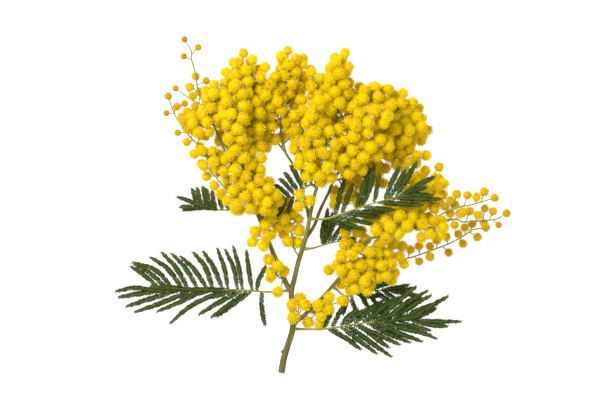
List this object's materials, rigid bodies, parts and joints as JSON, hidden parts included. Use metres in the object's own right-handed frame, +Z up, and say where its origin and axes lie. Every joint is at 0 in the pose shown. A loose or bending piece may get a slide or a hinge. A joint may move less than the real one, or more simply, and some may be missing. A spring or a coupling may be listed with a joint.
{
  "type": "mimosa sprig",
  "caption": "Cut sprig of flowering mimosa lying on its side, with a forked woody stem, feathery leaves and sprays of small round flower heads.",
  "frame": {"origin": "on the surface that the sprig lies on, below the middle of its bounding box", "axes": "+Z up from the surface, +Y from the cut end towards the flowers, +X along the longest extent, to the right seen from above"},
  "size_m": [0.2846, 0.2434, 0.0664],
  "materials": {
    "stem": "olive green young bark with pale ribs",
    "leaves": "soft matt green leaflets",
    "flowers": "fluffy yellow stamens dusted with pollen"
  },
  "bodies": {
    "root": {"frond_behind": "leaves", "frond_front": "leaves", "frond_hidden": "leaves", "frond_left": "leaves", "frond_low_left": "leaves", "frond_low_right": "leaves", "frond_middle": "leaves", "spray_front_01": "flowers", "spray_front_03": "flowers", "spray_front_04": "flowers", "spray_front_05": "flowers", "spray_front_06": "flowers", "spray_front_07": "flowers", "spray_front_08": "flowers", "spray_front_09": "flowers", "spray_front_10": "flowers", "spray_left_01": "flowers", "spray_left_02": "flowers", "spray_left_03": "flowers", "spray_left_04": "flowers", "spray_left_05": "flowers", "spray_left_06": "flowers", "spray_left_08": "flowers", "spray_left_09": "flowers", "spray_left_10": "flowers", "spray_left_11": "flowers", "spray_left_13": "flowers", "spray_left_14": "flowers", "spray_left_16": "flowers", "spray_left_17": "flowers", "spray_left_18": "flowers", "spray_left_19": "flowers", "spray_left_20": "flowers", "spray_low_01": "flowers", "spray_low_02": "flowers", "spray_low_03": "flowers", "spray_low_04": "flowers", "spray_low_05": "flowers", "spray_low_06": "flowers", "spray_low_08": "flowers", "spray_low_10": "flowers", "spray_low_12": "flowers", "spray_mid_01": "flowers", "spray_mid_03": "flowers", "spray_mid_04": "flowers", "spray_mid_05": "flowers", "spray_mid_06": "flowers", "spray_mid_07": "flowers", "spray_mid_08": "flowers", "spray_right_01": "flowers", "spray_right_03": "flowers", "spray_right_04": "flowers", "spray_right_05": "flowers", "spray_right_06": "flowers", "spray_right_07": "flowers", "spray_right_09": "flowers", "spray_right_10": "flowers", "spray_right_11": "flowers", "spray_right_12": "flowers", "stem": "stem"}
  },
  "joints": []
}
